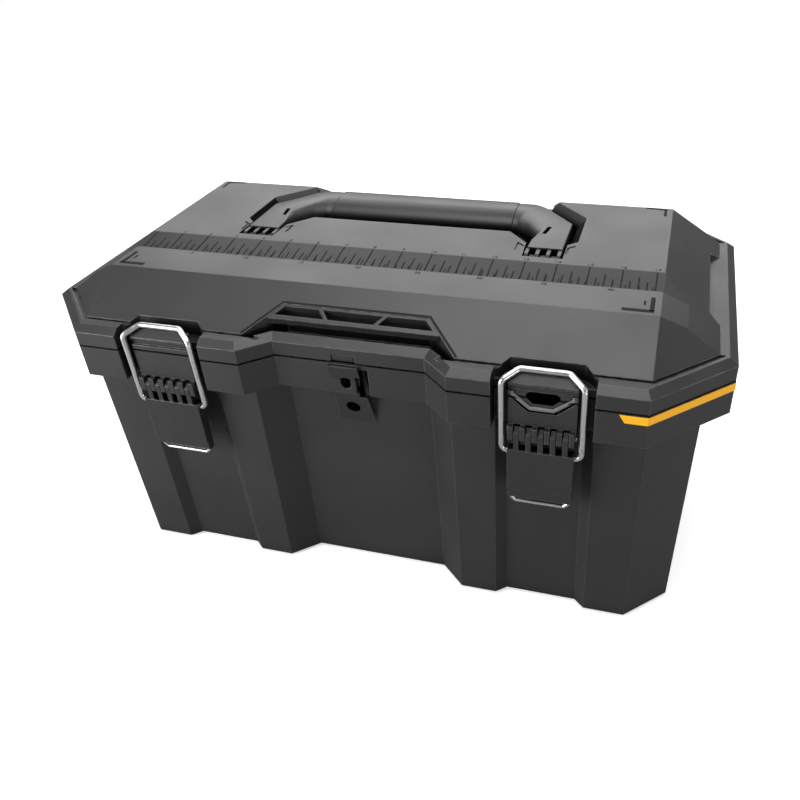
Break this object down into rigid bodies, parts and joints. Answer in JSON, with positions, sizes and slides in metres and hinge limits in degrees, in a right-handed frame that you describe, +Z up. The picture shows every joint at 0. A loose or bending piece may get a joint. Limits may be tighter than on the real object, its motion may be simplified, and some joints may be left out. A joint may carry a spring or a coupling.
{
  "type": "toolbox with tray",
  "caption": "Moulded plastic toolbox with a hinged lid, folding carry handle, two wire-bail latches and a lift-out tray.",
  "frame": {"origin": "middle of the whole in plan, latches to hinges, on the surface that the box stands on", "axes": "+X along the length to the right seen from the front, +Y to the back, +Z up; the front with the latches faces -Y"},
  "size_m": [0.5574, 0.3332, 0.2703],
  "materials": {
    "shell_plastic": "fine moulded grain, satin",
    "handle_plastic": "fine grain, slightly smoother",
    "grip_plastic": "soft satin sleeve",
    "stripe_plastic": "semi-gloss yellow-orange",
    "latch_plastic": "fine grain, satin",
    "wire_steel": "bright zinc-plated wire",
    "pin_steel": "plain drawn steel",
    "tray_plastic": "fine moulded grain"
  },
  "bodies": {
    "tub": {"base_tub": "shell_plastic", "right_accent_stripe": "stripe_plastic", "right_hinge_pin": "pin_steel", "left_hinge_pin": "pin_steel", "right_latch_pin": "pin_steel", "left_latch_pin": "pin_steel"},
    "lid": {"lid_shell": "shell_plastic", "front_grip_insert": "handle_plastic", "right_handle_pin": "pin_steel", "left_handle_pin": "pin_steel"},
    "carry_handle": {"carry_handle_frame": "handle_plastic", "carry_handle_grip": "grip_plastic"},
    "right_lever": {"right_latch_lever": "latch_plastic", "right_pull_wire": "wire_steel"},
    "left_lever": {"left_latch_lever": "latch_plastic", "left_pull_wire": "wire_steel"},
    "right_bail": {"right_latch_bail": "wire_steel"},
    "left_bail": {"left_latch_bail": "wire_steel"},
    "tray": {"lift_out_tray": "tray_plastic", "tray_handle": "handle_plastic", "tray_dividers": "tray_plastic"}
  },
  "joints": [
    {"name": "lid_hinge", "type": "hinge", "parent": "tub", "child": "lid", "pos_m": [0, 0.1601, 0.2218], "axis": [-1, 0, 0], "range_deg": [0, 100]},
    {"name": "handle_fold", "type": "hinge", "parent": "lid", "child": "carry_handle", "pos_m": [0, -0.0249, 0.2618], "axis": [1, 0, 0], "range_deg": [0, 90]},
    {"name": "tray_lift", "type": "slide", "parent": "tub", "child": "tray", "axis": [0, 0, 1], "range_m": [0, 0.02]},
    {"name": "right_latch_lever_hinge", "type": "hinge", "parent": "tub", "child": "right_lever", "pos_m": [0.1505, -0.1596, 0.19], "axis": [-1, 0, 0], "range_deg": [0, 100]},
    {"name": "right_bail_hinge", "type": "hinge", "parent": "right_lever", "child": "right_bail", "pos_m": [0.1505, -0.1626, 0.175], "axis": [-1, 0, 0], "range_deg": [-160, 0]},
    {"name": "left_latch_lever_hinge", "type": "hinge", "parent": "tub", "child": "left_lever", "pos_m": [-0.1505, -0.1596, 0.19], "axis": [-1, 0, 0], "range_deg": [0, 100]},
    {"name": "left_bail_hinge", "type": "hinge", "parent": "left_lever", "child": "left_bail", "pos_m": [-0.1505, -0.1626, 0.175], "axis": [-1, 0, 0], "range_deg": [-160, 0]}
  ],
  "couplings": [
    {"joint": "right_bail_hinge", "follows": "right_latch_lever_hinge", "ratio": -1.6},
    {"joint": "left_bail_hinge", "follows": "left_latch_lever_hinge", "ratio": -1.6}
  ]
}
